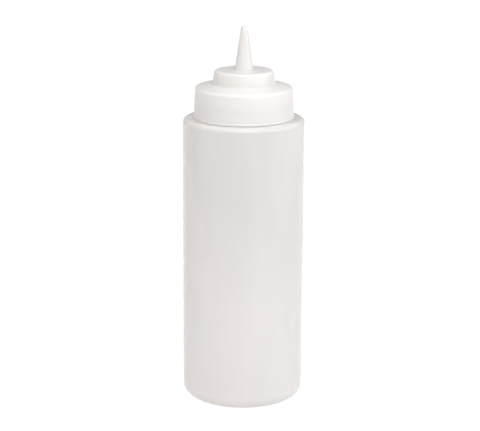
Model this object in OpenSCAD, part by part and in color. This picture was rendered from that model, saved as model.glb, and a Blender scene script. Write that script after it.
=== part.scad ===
// Squeeze bottle for sauce: a blow-moulded cylinder with a wide threaded neck, and a screw lid whose stepped
// top ends in an open cone tip. The bottle stands on its base ring, with its axis along +Z and z = 0 at the base.

/* [Body] */
// Outer diameter of the body
body_d = 82.6; // [80:0.2:100]
// Height of the flat shoulder above the base
shoulder_z = 195.7; // [120:0.1:260]
// Wall of the body
body_wall = 1.0; // [0.6:0.1:1.6]
// Thickness of the floor
floor_wall = 1.6; // [1:0.1:3]
// Outer rounding between the wall and the base
heel_round = 7.9; // [4:0.1:10]
// Outer rounding between the wall and the shoulder
shoulder_round = 3.0; // [2:0.1:6]
// Width of the flat ring that the bottle stands on
stand_ring_w = 4.5; // [2:0.1:8]
// Height by which the middle of the base is pushed up
push_up = 3.0; // [1:0.1:6]
// Radial run of the slope between the ring and the pushed-up middle
push_up_run = 5.0; // [3:0.1:9]

/* [Neck] */
// Diameter of the open mouth
mouth_d = 57.0; // [46:0.2:60]
// Wall of the neck behind its thread
neck_wall = 1.5; // [1:0.1:2]
// Height of the neck from the shoulder to the rim
neck_h = 17.7; // [14:0.1:24]
// Hollow rounding between the shoulder and the neck
neck_cove = 0.8; // [0.3:0.1:1.2]
// Rounding of both edges of the rim
rim_round = 0.4; // [0.2:0.1:0.5]

/* [Thread] */
// Rise of the thread in one turn
pitch = 4.233; // [3.6:0.001:5]
// Turns of each thread
thread_turns = 1.5; // [1:0.1:2]
// Height by which the neck's thread stands out of the neck
thread_depth = 1.1; // [0.8:0.05:1.4]
// Height of the neck's ridge at its root, measured along the axis
neck_ridge_w = 2.0; // [1.6:0.05:2.2]
// Slope of the ridges' flanks, from square to the axis
flank_deg = 20; // [10:1:24]
// Distance from the rim to the upper end of the neck's thread, at the ridge's middle
thread_lead = 2.4; // [1.8:0.1:4]
// Radial clearance of each crest to the wall that it runs past
crest_clear = 0.4; // [0.2:0.05:0.5]
// Axial clearance between the flanks of the two threads
flank_clear = 0.3; // [0.2:0.05:0.4]
// Angle over which the end of a ridge fades into its wall
fade_deg = 24; // [12:2:40]

/* [Seal ring] */
// Thickness of the ring
seal_t = 1.5; // [0.8:0.1:3]
// Radial clearance of the ring inside the lid
seal_clear = 0.3; // [0.2:0.05:0.6]
// Distance by which the ring stays back from the mouth
seal_inset = 0.3; // [0.1:0.05:0.6]

/* [Lid] */
// Gap between the shoulder and the foot of the lid
lid_gap = 0.2; // [0.2:0.1:3]
// Wall of the skirt above its foot
foot_wall = 2.4; // [1.8:0.1:4]
// Wall of the skirt below its top edge
skirt_wall = 1.4; // [1.2:0.1:3]
// Radius of the bead around the foot
foot_bead = 1.0; // [0.5:0.1:1.4]
// Height by which the bead stands out of the skirt
bead_proud = 0.5; // [0.2:0.1:0.8]
// Thickness of the top plate over the rim
top_wall = 2.0; // [1.4:0.1:4]
// Rounding of the top edge
top_round = 2.0; // [0.6:0.1:2.2]
// Rise of the top plate from its edge to the raised tier
crown = 2.3; // [0.5:0.1:3]

/* [Tier] */
// Diameter of the raised tier at its foot
tier_d = 42.8; // [30:0.2:50]
// Height of the tier
tier_h = 9.0; // [6:0.1:16]
// Radius that the tier loses towards its top
tier_draft = 1.6; // [0.2:0.1:2]
// Rounding of the tier's upper edge
tier_round = 1.5; // [0.4:0.1:1.6]
// Hollow rounding at the tier's foot
tier_cove = 1.5; // [0.3:0.1:2]
// Wall of the tier and of its top
tier_wall = 1.8; // [1.2:0.1:3]

/* [Spout] */
// Diameter of the cone at its foot
spout_d = 12.8; // [9:0.1:16]
// Diameter of the tip
tip_d = 4.0; // [3.6:0.1:6]
// Height of the cone
spout_h = 29.5; // [18:0.1:40]
// Wall of the cone at its foot
spout_wall = 1.5; // [1:0.1:2.2]
// Diameter of the open orifice
orifice_d = 2.4; // [1.4:0.1:3]
// Length of the orifice's straight part
orifice_len = 3.0; // [1:0.1:6]
// Hollow rounding at the cone's foot
spout_cove = 1.0; // [0.4:0.1:2]
// Rounding of the tip's edge
tip_round = 0.4; // [0.2:0.1:0.5]

/* [Hidden] */
$fn = 96;
eps = 0.01;
thread_steps = 60;
thread_sink = 0.3;
thread_start = 3;

body_r = body_d / 2;
mouth_r = mouth_d / 2;
neck_r = mouth_r + neck_wall;
rim_z = shoulder_z + neck_h;
stand_r = body_r - heel_round;
stand_in_r = stand_r - stand_ring_w;

seal_top = rim_z + seal_t;
lid_bore_r = neck_r + thread_depth + crest_clear;
lid_foot_z = shoulder_z + lid_gap;
lid_foot_r = lid_bore_r + foot_wall;
lid_top_r = lid_bore_r + skirt_wall;
lid_edge_z = seal_top + top_wall;
tier_r = tier_d / 2;
tier_foot_z = lid_edge_z + crown;
tier_top_r = tier_r - tier_draft;
tier_top_z = tier_foot_z + tier_h;
spout_r = spout_d / 2;
tip_r = tip_d / 2;
tip_z = tier_top_z + spout_h;
orifice_r = orifice_d / 2;
orifice_z = tip_z - orifice_len;

lid_ridge_w = pitch - neck_ridge_w - 2 * flank_clear;
neck_thread_z = rim_z - thread_lead - thread_turns * pitch;
lid_thread_z = neck_thread_z - pitch / 2;

function unit(v) = v / norm(v);

// What fills a hollow corner, or is cut off a sharp one, to round it between the lines to two other points
module corner_round(corner, point_a, point_b, radius) {
    a = unit(point_a - corner);
    b = unit(point_b - corner);
    half_angle = acos(a * b) / 2;
    run = radius / tan(half_angle);
    centre = corner + unit(a + b) * radius / sin(half_angle);
    difference() {
        polygon([corner - eps * unit(a + b), corner + run * a, centre, corner + run * b]);
        translate(centre)
            circle(radius);
    }
}

// Half section of a round can, with its own rounding at the lower and at the upper outer edge
module can_section(radius, height, low_round, high_round) {
    square([radius - max(low_round, high_round), height]);
    translate([0, low_round])
        square([radius, height - low_round - high_round]);
    square([radius - low_round, low_round + eps]);
    translate([0, height - high_round - eps])
        square([radius - high_round, high_round + eps]);
    translate([radius - low_round, low_round])
        circle(low_round);
    translate([radius - high_round, height - high_round])
        circle(high_round);
}

// One ring of a ridge: its four corners at an angle, from the wall to the crest and back
function ridge_ring(angle, root_r, crest_r, root_w, crest_w, z) = [
    for (corner = [[root_r, -root_w / 2], [crest_r, -crest_w / 2], [crest_r, crest_w / 2], [root_r, root_w / 2]])
        [corner[0] * cos(angle), corner[0] * sin(angle), z + corner[1]]
];

// A right-hand ridge that climbs one pitch a turn. The side is 1 on a neck and -1 inside a lid.
module ridge(wall_r, depth, width, z_start, side) {
    count = ceil(thread_turns * thread_steps);
    root_r = wall_r - side * thread_sink;
    crest_w = width - 2 * depth * tan(flank_deg);
    root_w = width + 2 * thread_sink * tan(flank_deg);
    turn = 360 * thread_turns;
    rings = [
        for (i = [0 : count])
            let (angle = turn * i / count)
            let (fade = min(1, angle / fade_deg, (turn - angle) / fade_deg))
            let (rise = fade * (depth + thread_sink / 2) - thread_sink / 2)
            ridge_ring(angle + thread_start, root_r, wall_r + side * rise, root_w, crest_w, z_start + pitch * angle / 360)
    ];
    points = [for (ring = rings) each ring];
    sides = [
        for (i = [0 : count - 1])
            for (k = [0 : 3])
                let (a = 4 * i + k)
                let (b = 4 * i + (k + 1) % 4)
                each side > 0 ? [[a, b, b + 4], [a, b + 4, a + 4]] : [[a, b + 4, b], [a, a + 4, b + 4]]
    ];
    last = 4 * count;
    ends = side > 0
        ? [[2, 1, 0], [3, 2, 0], [last, last + 1, last + 2], [last, last + 2, last + 3]]
        : [[0, 1, 2], [0, 2, 3], [last + 2, last + 1, last], [last + 3, last + 2, last]];
    polyhedron(points, concat(sides, ends), convexity = 8);
}

// Blow-moulded in one piece: body, shoulder and threaded neck
module bottle() {
    color([0.87, 0.86, 0.84]) {
        rotate_extrude()
            difference() {
                union() {
                    can_section(body_r, shoulder_z, heel_round, shoulder_round);
                    corner_round([neck_r, shoulder_z], [neck_r, rim_z], [body_r, shoulder_z], neck_cove);
                    square([neck_r, rim_z - rim_round]);
                    square([neck_r - rim_round, rim_z]);
                    translate([neck_r - rim_round, rim_z - rim_round])
                        circle(rim_round);
                }
                bottle_hollow();
            }
        ridge(neck_r, thread_depth, neck_ridge_w, neck_thread_z, 1);
    }
}

// What is empty in the bottle's half section: the inside with its mouth, and the recess under the base
module bottle_hollow() {
    difference() {
        translate([0, floor_wall])
            can_section(body_r - body_wall, shoulder_z - floor_wall - body_wall,
                heel_round - body_wall, shoulder_round - body_wall);
        polygon([
            [0, floor_wall - eps],
            [stand_in_r, floor_wall - eps],
            [stand_in_r - push_up_run, floor_wall + push_up],
            [0, floor_wall + push_up]
        ]);
    }
    translate([0, shoulder_z - body_wall - eps])
        square([mouth_r, rim_z]);
    corner_round([mouth_r, rim_z], [mouth_r, shoulder_z], [neck_r, rim_z], rim_round);
    polygon([
        [0, -1],
        [stand_in_r, -1],
        [stand_in_r, 0],
        [stand_in_r - push_up_run, push_up],
        [0, push_up]
    ]);
}

// Soft flat ring under the lid's top plate, pressed on the rim
module seal_ring() {
    color([0.93, 0.93, 0.92])
        rotate_extrude()
            translate([mouth_r + seal_inset, rim_z])
                square([lid_bore_r - seal_clear - mouth_r - seal_inset, seal_t]);
}

// Injection-moulded in one piece: threaded skirt, top plate, tier and cone tip
module lid() {
    color([0.95, 0.94, 0.93]) {
        rotate_extrude()
            difference() {
                lid_section();
                lid_hollow();
            }
        ridge(lid_bore_r, thread_depth, lid_ridge_w, lid_thread_z, -1);
    }
}

// Where a line from a point touches a rounding. The side is 1 for a line that comes up to it and -1 for one that
// goes on from it.
function touch(centre, radius, point, side) =
    let (reach = point - centre)
    let (angle = atan2(reach[1], reach[0]) + side * acos(radius / norm(reach)))
    centre + radius * [cos(angle), sin(angle)];

// Outline of the lid's half section, still filled
module lid_section() {
    bead = [lid_foot_r + bead_proud - foot_bead, lid_foot_z + foot_bead];
    edge = [lid_top_r - top_round, lid_edge_z - top_round];
    rim = [tier_top_r - tier_round, tier_top_z - tier_round];
    tip = [tip_r - tip_round, tip_z - tip_round];
    foot = [lid_foot_r, lid_foot_z + 2 * foot_bead];
    tier = [tier_r, tier_foot_z];
    spout = [spout_r, tier_top_z];
    plate_end = touch(edge, top_round, tier, -1);
    tier_end = touch(rim, tier_round, tier, 1);
    spout_end = touch(tip, tip_round, spout, 1);
    polygon([
        [0, lid_foot_z],
        [bead[0], lid_foot_z],
        foot,
        touch(edge, top_round, foot, 1),
        plate_end,
        tier,
        tier_end,
        [rim[0], tier_top_z],
        spout,
        spout_end,
        [tip[0], tip_z],
        [0, tip_z]
    ]);
    translate(bead)
        circle(foot_bead);
    translate(edge)
        circle(top_round);
    corner_round(tier, tier_end, plate_end, tier_cove);
    translate(rim)
        circle(tier_round);
    corner_round(spout, spout_end, rim + [0, tier_round], spout_cove);
    translate(tip)
        circle(tip_round);
}

// What is empty in the lid's half section: skirt, tier, cone and orifice
module lid_hollow() {
    tier_in_top = tier_top_z - tier_wall;
    polygon([
        [0, lid_foot_z - 1],
        [lid_bore_r, lid_foot_z - 1],
        [lid_bore_r, seal_top],
        [mouth_r, seal_top],
        [tier_r - tier_wall, tier_foot_z - top_wall],
        [tier_top_r - tier_wall, tier_in_top],
        [spout_r - spout_wall, tier_in_top],
        [orifice_r, orifice_z],
        [orifice_r, tip_z + 1],
        [0, tip_z + 1]
    ]);
}

bottle();
seal_ring();
lid();
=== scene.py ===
import math

import bmesh
import bpy
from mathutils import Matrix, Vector


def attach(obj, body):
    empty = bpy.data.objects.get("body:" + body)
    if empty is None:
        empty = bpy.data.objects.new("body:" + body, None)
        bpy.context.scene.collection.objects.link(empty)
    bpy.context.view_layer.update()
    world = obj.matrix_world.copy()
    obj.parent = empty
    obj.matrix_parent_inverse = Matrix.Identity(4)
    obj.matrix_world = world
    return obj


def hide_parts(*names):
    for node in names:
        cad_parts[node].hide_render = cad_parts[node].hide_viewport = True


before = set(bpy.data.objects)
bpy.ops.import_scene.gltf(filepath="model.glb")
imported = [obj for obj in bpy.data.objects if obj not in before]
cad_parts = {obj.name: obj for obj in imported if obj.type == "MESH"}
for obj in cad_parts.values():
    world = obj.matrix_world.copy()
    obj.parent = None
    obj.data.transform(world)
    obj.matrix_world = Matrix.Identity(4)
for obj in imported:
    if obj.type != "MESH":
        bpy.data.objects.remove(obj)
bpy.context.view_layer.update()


# The bottle: body, neck and thread are blow-moulded in one piece of milky low-density polyethylene. The mould
# leaves a fine parting line up both sides and a pinched weld across the recess under the base. Sizes are in
# millimetres and heights are above the table, as in the part's source.

MM = 0.001

body_r = 41.3
body_wall = 1.0
floor_wall = 1.6
heel_round = 7.9
shoulder_z = 195.7
shoulder_round = 3.0
stand_inner_r = 28.9
stand_round = 1.2
push_up = 3.0
push_up_r = 23.9
push_up_round = 2
mouth_r = 28.5
mouth_foot_round = 0.8
neck_r = 30.0
neck_cove = 0.8
rim_z = 213.4
rim_round = 0.4

pitch = 4.233
thread_turns = 1.5
thread_depth = 1.1
thread_lead = 2.4
thread_start_deg = 3
thread_fade_deg = 24
ridge_w = 2.0
ridge_flank = 0.45
neck_thread_z = rim_z - thread_lead - thread_turns * pitch

parting_deg = 8
parting_line = 0.12
parting_spread = 0.3
parting_foot_z = 0.5
thread_break_share = 0.8
thread_break_spread = 1.2
weld_line = 0.5
weld_run_out = 3
parting = [math.radians(parting_deg), math.radians(parting_deg + 180)]

# How finely the mesh is divided: rows up the neck for its thread, rings under the base for the weld, and
# columns beside the parting line, which are counted in spreads of that line.
bottle_sides = 240
parting_columns = (-3, -2, -1.3, -0.7, 0, 0.7, 1.3, 2, 3)
weld_rings = (6, 12, 18)
row_step = 0.25
neck_rows = 43
first_row_z = shoulder_z + 6
touching = 0.01

# Tones of the milky plastic, from palest at 0 to greyest at 1, picked by painted shade and random streaks.
milk_tones = (
    (0, (0.94, 0.862, 0.852)),
    (0.35, (0.79, 0.762, 0.755)),
    (0.7, (0.723, 0.709, 0.7)),
    (1, (0.685, 0.671, 0.662)))
streaks_per_m = 34
streak_seed = 150
# Between these heights painted shade greys the wall upwards, and the streaks grow stronger.
upper_from_z = 60
upper_to_z = 175
polyethylene_ior = 1.51


class Value:
    """A socket of the material in hand, so that shader maths reads as plain sums."""
    tree = None

    def __init__(self, socket):
        self.socket = socket

    @classmethod
    def node(cls, kind, settings=None, sockets=None, output=0):
        made = cls.tree.nodes.new(kind)
        for name, setting in (settings or {}).items():
            if name == "stops":
                ramp = made.color_ramp.elements
                while len(ramp) < len(setting):
                    ramp.new(1)
                for stop, (position, colour) in zip(ramp, setting):
                    stop.position = position
                    stop.color = (*colour, 1)
            else:
                setattr(made, name, setting)
        for name, value in (sockets or {}).items():
            if isinstance(value, cls):
                cls.tree.links.new(value.socket, made.inputs[name])
            else:
                made.inputs[name].default_value = value
        return cls(made.outputs[output]) if made.outputs else None

    def maths(operation):
        def forward(self, other):
            return Value.node("ShaderNodeMath", {"operation": operation}, {0: self, 1: other})

        def reflected(self, other):
            return Value.node("ShaderNodeMath", {"operation": operation}, {0: other, 1: self})
        return forward, reflected

    __add__, __radd__ = maths("ADD")
    __sub__, __rsub__ = maths("SUBTRACT")
    __mul__, __rmul__ = maths("MULTIPLY")


def emptied(owner):
    """Clears the nodes of a material or world and takes it in hand."""
    owner.use_nodes = True
    owner.node_tree.nodes.clear()
    Value.tree = owner.node_tree
    return owner


def plastic(name, finish):
    """A material whose finish is what the function returns: the sockets of its plastic shader."""
    material = emptied(bpy.data.materials.new(name))
    shader = Value.node("ShaderNodeBsdfPrincipled", None, finish())
    Value.node("ShaderNodeOutputMaterial", None, {"Surface": shader})
    return material


def toned(factor, stops):
    """A colour that runs through several others, each with its place from 0 to 1."""
    return Value.node("ShaderNodeValToRGB", {"stops": stops}, {"Fac": factor})


def place(stretch=(1, 1, 1)):
    """The point on the piece in metres, stretched along its axes."""
    point = Value.node("ShaderNodeTexCoord", None, None, "Object")
    return Value.node("ShaderNodeMapping", None, {"Vector": point, "Scale": stretch})


def clouds(scale, detail, stretch, seed):
    """Soft patches from 0 to 1, so many to a metre."""
    return Value.node("ShaderNodeTexNoise", {"noise_dimensions": "4D"},
                      {"Vector": place(stretch), "W": seed, "Scale": scale, "Detail": detail})


def along(axis):
    """How far the point lies along an axis of the piece, in metres."""
    return Value.node("ShaderNodeSeparateXYZ", None, {0: place()}, axis)


def rise(low, high):
    """0 up to one height on the piece and 1 from another, with a soft run between them."""
    return Value.node("ShaderNodeMapRange", {"interpolation_type": "SMOOTHSTEP"}, {
        "Value": along("Z"), "From Min": low * MM, "From Max": high * MM, "To Min": 0, "To Max": 1})


def relief(height, depth):
    """Surface normals of a height from 0 to 1 that is so many millimetres deep."""
    return Value.node("ShaderNodeBump", None, {"Height": height, "Distance": depth * MM, "Strength": 1})


arc_step_deg = 9
fewest_arc_steps = 4
hold_share = 0.3
widest_hold = 0.25


def rounded(*corners):
    """An outline from (radius, height, rounding) corners. Each rounding is an arc, with a point held close
    beside each of its ends, so that the straight walls stay flat in the shading."""
    flat = [Vector(corner[:2]) for corner in corners]
    line = []
    for here, corner in enumerate(corners):
        if len(corner) < 3:
            line.append(flat[here])
            continue
        rounding = corner[2]
        back = (flat[here - 1] - flat[here]).normalized()
        on = (flat[(here + 1) % len(flat)] - flat[here]).normalized()
        half = back.angle(on) / 2
        run = rounding / math.tan(half)
        centre = flat[here] + (back + on).normalized() * rounding / math.sin(half)
        first = flat[here] + back * run - centre
        last = flat[here] + on * run - centre
        sweep = first.angle_signed(last)
        steps = fewest_arc_steps + round(abs(math.degrees(sweep)) / arc_step_deg)
        hold = min(widest_hold, rounding * hold_share)
        line.append(centre + first + back * hold)
        for step in range(steps + 1):
            turn = -sweep * step / steps
            line.append(centre + Vector((first.x * math.cos(turn) - first.y * math.sin(turn),
                                         first.x * math.sin(turn) + first.y * math.cos(turn))))
        line.append(centre + last + on * hold)
    return line


def turned(name, outline, angles, shape):
    """A closed outline turned about the upright axis. The shape moves each point (radius, angle, height)."""
    mesh = bmesh.new()
    rings = []
    for point in outline:
        if point.x == 0:
            pole = mesh.verts.new((0, 0, point.y * MM))
            rings.append([pole] * len(angles))
            continue
        ring = []
        for angle in angles:
            r, z = shape(point.x, angle, point.y)
            ring.append(mesh.verts.new((r * MM * math.cos(angle), r * MM * math.sin(angle), z * MM)))
        rings.append(ring)
    for lower, upper in zip(rings, rings[1:] + rings[:1]):
        for k, nearest in enumerate(lower):
            following = (k + 1) % len(angles)
            corners = list(dict.fromkeys([nearest, lower[following], upper[following], upper[k]]))
            if len(corners) > 2:
                mesh.faces.new(corners)
    data = bpy.data.meshes.new(name)
    bmesh.ops.recalc_face_normals(mesh, faces=mesh.faces)
    mesh.to_mesh(data)
    mesh.free()
    data.shade_smooth()
    piece = bpy.data.objects.new(name, data)
    bpy.context.collection.objects.link(piece)
    return piece


def ridge(angle, z, start_z, width):
    """How far a right-hand ridge stands out at an angle and height, from 0 to 1."""
    proud = 0
    for lap in range(math.ceil(thread_turns)):
        turned_by = (math.degrees(angle) - thread_start_deg) % 360 + 360 * lap
        if turned_by < 360 * thread_turns:
            off = abs(z - start_z - pitch * turned_by / 360)
            flank = min(1, max(0, (width / 2 - off) / ridge_flank))
            fade = min(1, turned_by / thread_fade_deg, (360 * thread_turns - turned_by) / thread_fade_deg)
            proud = max(proud, flank * flank * (3 - 2 * flank) * fade)
    return proud


def blown(r, angle, z):
    """The parting line, the pinched weld under the base, and the neck's thread, which the line breaks."""
    off = min(abs((angle - line + math.pi) % math.tau - math.pi) for line in parting) * r
    crest = math.exp(-(off / parting_spread) ** 2)
    on_neck = abs(r - neck_r) < touching
    if r > neck_r - touching and z > parting_foot_z:
        r += parting_line * crest
    if r < push_up_r and z < push_up + touching:
        z -= weld_line * crest * min(1, (push_up_r - r) / weld_run_out)
    if on_neck:
        unbroken = 1 - thread_break_share * math.exp(-(off / thread_break_spread) ** 2)
        r += thread_depth * ridge(angle, z, neck_thread_z, ridge_w) * unbroken
    return r, z


around = [math.tau * k / bottle_sides for k in range(bottle_sides)]
for line in parting:
    around += [line + column * parting_spread / body_r for column in parting_columns]
around = sorted(angle % math.tau for angle in around)

bottle = turned("bottle_body", rounded(
    (0, push_up),
    *[(r, push_up) for r in weld_rings],
    (push_up_r, push_up, push_up_round),
    (stand_inner_r, 0, stand_round),
    (body_r, 0, heel_round),
    (body_r, shoulder_z, shoulder_round),
    (neck_r, shoulder_z, neck_cove),
    *[(neck_r, first_row_z + row_step * k) for k in range(neck_rows)],
    (neck_r, rim_z, rim_round),
    (mouth_r, rim_z, rim_round),
    (mouth_r, shoulder_z - body_wall, mouth_foot_round),
    (body_r - body_wall, shoulder_z - body_wall, shoulder_round - body_wall),
    (body_r - body_wall, floor_wall, heel_round - body_wall),
    (stand_inner_r, floor_wall, stand_round),
    (push_up_r, floor_wall + push_up, push_up_round),
    (0, floor_wall + push_up)), around, blown)


def milky():
    """Milky and glossy, with soft streaks up the wall. Shade is painted into its colour: greyer towards
    the right and paler to the left, and greyer in the upper half, most at the front and back."""
    streaks = clouds(streaks_per_m, 3, (1, 1, 0.22), streak_seed)
    skin = clouds(420, 2, (1, 1, 0.5), 2)
    across = along("X") * (1 / (body_r * MM))
    front_back = along("Y") * along("Y") * (1 / (body_r * MM) ** 2)
    high = rise(upper_from_z, upper_to_z)
    # Painted shade: greyer towards the right and paler to the left, and greyer in the upper half, most at the
    # front and back.
    painted_shade_across = 0.19 + 0.18 * across
    painted_shade_high = high * (0.15 + 0.06 * across + 0.26 * front_back)
    streaky = (streaks - 0.5) * (0.5 + 0.7 * high)
    return {
        "Base Color": toned(painted_shade_across + painted_shade_high + streaky, milk_tones),
        "Roughness": 0.15 + 0.06 * clouds(60, 2, (1, 1, 0.4), 3),
        "IOR": polyethylene_ior,
        "Subsurface Weight": 1,
        "Subsurface Radius": (1, 1, 1),
        "Subsurface Scale": 0.002,
        "Normal": relief(streaks * 0.9 + skin * 0.1, 0.2),
    }


bottle.data.materials.append(plastic("milky_polyethylene", milky))
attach(bottle, "bottle")
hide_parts("bottle")


# The seal ring: a flat ring punched from white polyethylene foam sheet. It lies under the lid's top plate
# and is pressed on the rim of the neck.

pores_per_m = 1800
pore_tone = (0.86, 0.86, 0.84)
sheet_tone = (0.92, 0.92, 0.90)


def blend(factor, first, second):
    """A colour between two others."""
    mixed_colour = 2
    return Value.node("ShaderNodeMix", {"data_type": "RGBA"},
                      {0: factor, 6: (*first, 1), 7: (*second, 1)}, mixed_colour)


def foamed():
    """Fine closed pores in a matt white sheet."""
    pores = Value.node("ShaderNodeTexVoronoi", {"feature": "F1"}, {"Vector": place(), "Scale": pores_per_m})
    return {
        "Base Color": blend(pores, pore_tone, sheet_tone),
        "Roughness": 0.7 + 0.2 * pores,
        "Normal": relief(pores, 0.15),
    }


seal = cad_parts["seal_ring"]
seal.data.materials.clear()
seal.data.materials.append(plastic("foamed_polyethylene", foamed))


# The lid: one injection-moulded piece of whiter polyethylene with a satin gloss. Skirt, top plate, raised
# tier and cone tip are one wall, and the tip is open. It screws on the neck's thread.

lid_foot_z = 195.72
lid_foot_r = 33.9
foot_edge_round = 0.15
bead_proud = 0.5
bead_high = 1.3
bead_round = 0.6
bead_cove_high = 2.0
bead_cove = 0.5
lid_top_r = 32.9
lid_edge_z = 216.9
top_round = 2.0
top_wall = 2.0
lid_bore_r = 31.5
lid_bore_round = 0.3
seal_top = 214.9
tier_r = 21.4
tier_foot_z = 219.2
tier_top_r = 19.8
tier_top_z = 228.2
tier_round = 1.5
tier_cove = 1.5
tier_wall = 1.8
tier_inner_round = 1
tier_inner_cove = 0.5
spout_r = 6.4
spout_wall = 1.5
spout_cove = 1.0
spout_inner_cove = 1
tip_r = 2.0
tip_z = 257.7
tip_round = 0.4
orifice_r = 1.2
orifice_len = 3.0
orifice_edge_round = 0.25
orifice_foot_round = 0.5
thread_slack = 0.6
lid_ridge_w = pitch - ridge_w - thread_slack
lid_thread_z = neck_thread_z - pitch / 2

lid_sides = 256
lid_rows = 52
top_row_z = seal_top - 1.5

# The wall is painted palest where the skirt meets the top plate, as a painted glow of light below the top
# edge.
skirt_tone = (0.817, 0.794, 0.784)
painted_glow_tone = (0.95, 0.893, 0.878)
top_tone = (0.822, 0.799, 0.788)
tones_from_z = 205
tones_high = 13
lid_tones = ((0, skirt_tone), (0.67, painted_glow_tone), (0.76, painted_glow_tone), (0.87, top_tone))


def threaded(r, angle, z):
    """The thread inside the skirt."""
    if abs(r - lid_bore_r) < touching:
        r -= thread_depth * ridge(angle, z, lid_thread_z, lid_ridge_w)
    return r, z


lid = turned("screw_lid", rounded(
    (lid_bore_r, lid_foot_z, lid_bore_round),
    (lid_foot_r + bead_proud, lid_foot_z, foot_edge_round),
    (lid_foot_r + bead_proud, lid_foot_z + bead_high, bead_round),
    (lid_foot_r, lid_foot_z + bead_cove_high, bead_cove),
    (lid_top_r, lid_edge_z, top_round),
    (tier_r, tier_foot_z, tier_cove),
    (tier_top_r, tier_top_z, tier_round),
    (spout_r, tier_top_z, spout_cove),
    (tip_r, tip_z, tip_round),
    (orifice_r, tip_z, orifice_edge_round),
    (orifice_r, tip_z - orifice_len, orifice_foot_round),
    (spout_r - spout_wall, tier_top_z - tier_wall, spout_inner_cove),
    (tier_top_r - tier_wall, tier_top_z - tier_wall, tier_inner_round),
    (tier_r - tier_wall, tier_foot_z - top_wall, tier_inner_cove),
    (mouth_r, seal_top, lid_bore_round),
    (lid_bore_r, seal_top, lid_bore_round),
    *[(lid_bore_r, top_row_z - row_step * k) for k in range(lid_rows)]),
    [math.tau * k / lid_sides for k in range(lid_sides)], threaded)


def satin():
    """Whiter, with a satin gloss and the faint flow marks of its moulding."""
    flow = clouds(46, 2, (1, 1, 0.6), 5)
    skin = clouds(900, 2, (1, 1, 1), 6)
    height = (along("Z") * (1 / MM) - tones_from_z) * (1 / tones_high)
    return {
        # Painted light: the colour runs by height and glows palest below the top edge.
        "Base Color": toned(height + flow * 0.08 - 0.04, lid_tones),
        "Roughness": 0.28 + 0.08 * flow,
        "IOR": polyethylene_ior,
        "Subsurface Weight": 1,
        "Subsurface Radius": (1, 1, 1),
        "Subsurface Scale": 0.003,
        "Normal": relief(flow * 0.9 + skin * 0.1, 0.05),
    }


lid.data.materials.append(plastic("satin_polyethylene", satin))
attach(lid, "lid")
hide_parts("lid")


# The studio: a plain pale floor, a room, and four square softboxes at the front, right, left and overhead.
# The camera sees floor and room white, and the room lights the bottle only faintly.

floor_half = 6
room_light = 0.38

floor_mesh = bpy.data.meshes.new("studio_floor")
floor_corners = [(x * floor_half, y * floor_half, 0) for x, y in ((-1, -1), (1, -1), (1, 1), (-1, 1))]
floor_mesh.from_pydata(floor_corners, [], [(0, 1, 2, 3)])
floor = bpy.data.objects.new("studio_floor", floor_mesh)
bpy.context.collection.objects.link(floor)

paper = emptied(bpy.data.materials.new("studio_paper"))
plain = Value.node("ShaderNodeBsdfDiffuse", None, {"Color": (0.8, 0.8, 0.8, 1)})
shadowed = Value.node("ShaderNodeBsdfDiffuse", None, {"Color": (0.3, 0.3, 0.3, 1)})
lift = Value.node("ShaderNodeEmission", None, {"Color": (1, 1, 1, 1), "Strength": 0.9})
shown = Value.node("ShaderNodeAddShader", None, {0: shadowed, 1: lift})
seen = 0
for kind in ("Is Camera Ray", "Is Glossy Ray", "Is Transmission Ray"):
    ray = Value.node("ShaderNodeLightPath", None, None, kind)
    seen = Value.node("ShaderNodeMath", {"operation": "MAXIMUM"}, {0: seen, 1: ray})
surface = Value.node("ShaderNodeMixShader", None, {0: seen, 1: plain, 2: shown})
Value.node("ShaderNodeOutputMaterial", None, {"Surface": surface})
floor_mesh.materials.append(paper)

room = emptied(bpy.data.worlds.new("studio_room"))
bpy.context.scene.world = room
watched = Value.node("ShaderNodeLightPath", None, None, "Is Camera Ray")
brightness = room_light + watched * (1 - room_light)
glow = Value.node("ShaderNodeBackground", None, {"Color": (1, 1, 1, 1), "Strength": brightness})
Value.node("ShaderNodeOutputWorld", None, {"Surface": glow})

bottle_middle = Vector((0, 0, 0.13))
softbox_width = 1


def softbox(name, side_deg, up_deg, far, power, tint=(1, 1, 1)):
    """A square soft light that points at the bottle's middle. Its side angle is 0 at the camera's side."""
    lamp = bpy.data.lights.new(name, "AREA")
    lamp.size = softbox_width
    lamp.energy = power
    lamp.color = tint
    light = bpy.data.objects.new(name, lamp)
    side, up = math.radians(side_deg), math.radians(up_deg)
    towards = Vector((math.cos(up) * math.sin(side), -math.cos(up) * math.cos(side), math.sin(up)))
    light.location = bottle_middle + towards * far
    light.rotation_euler = towards.to_track_quat("Z", "Y").to_euler()
    bpy.context.collection.objects.link(light)


softbox("front", side_deg=8, up_deg=41, far=1.5, power=10.15)
softbox("right", side_deg=72, up_deg=25, far=1.5, power=7.35)
softbox("left", side_deg=-50, up_deg=40, far=1.5, power=4.35, tint=(1, 0.95, 0.88))
softbox("overhead", side_deg=0, up_deg=85, far=1.3, power=3.25)


# The camera, at the place that the photograph's outline gives: in front of the bottle and above it, looking
# down by about 14 degrees and leaning by less than one.

camera_place = (-0.002225, -1.15534, 0.42186)
looking_down_deg = 14.3145
leaning_deg = 0.285

camera_data = bpy.data.cameras.new("camera")
camera_data.sensor_width = 36
camera_data.lens = 130.19
camera_data.clip_end = 20
camera = bpy.data.objects.new("camera", camera_data)
camera.location = camera_place
camera.rotation_euler = (math.radians(90 - looking_down_deg), 0, 0)
camera.rotation_euler.rotate_axis("Z", math.radians(leaning_deg))
bpy.context.collection.objects.link(camera)
bpy.context.scene.camera = camera
bpy.context.scene.view_settings.view_transform = "Standard"
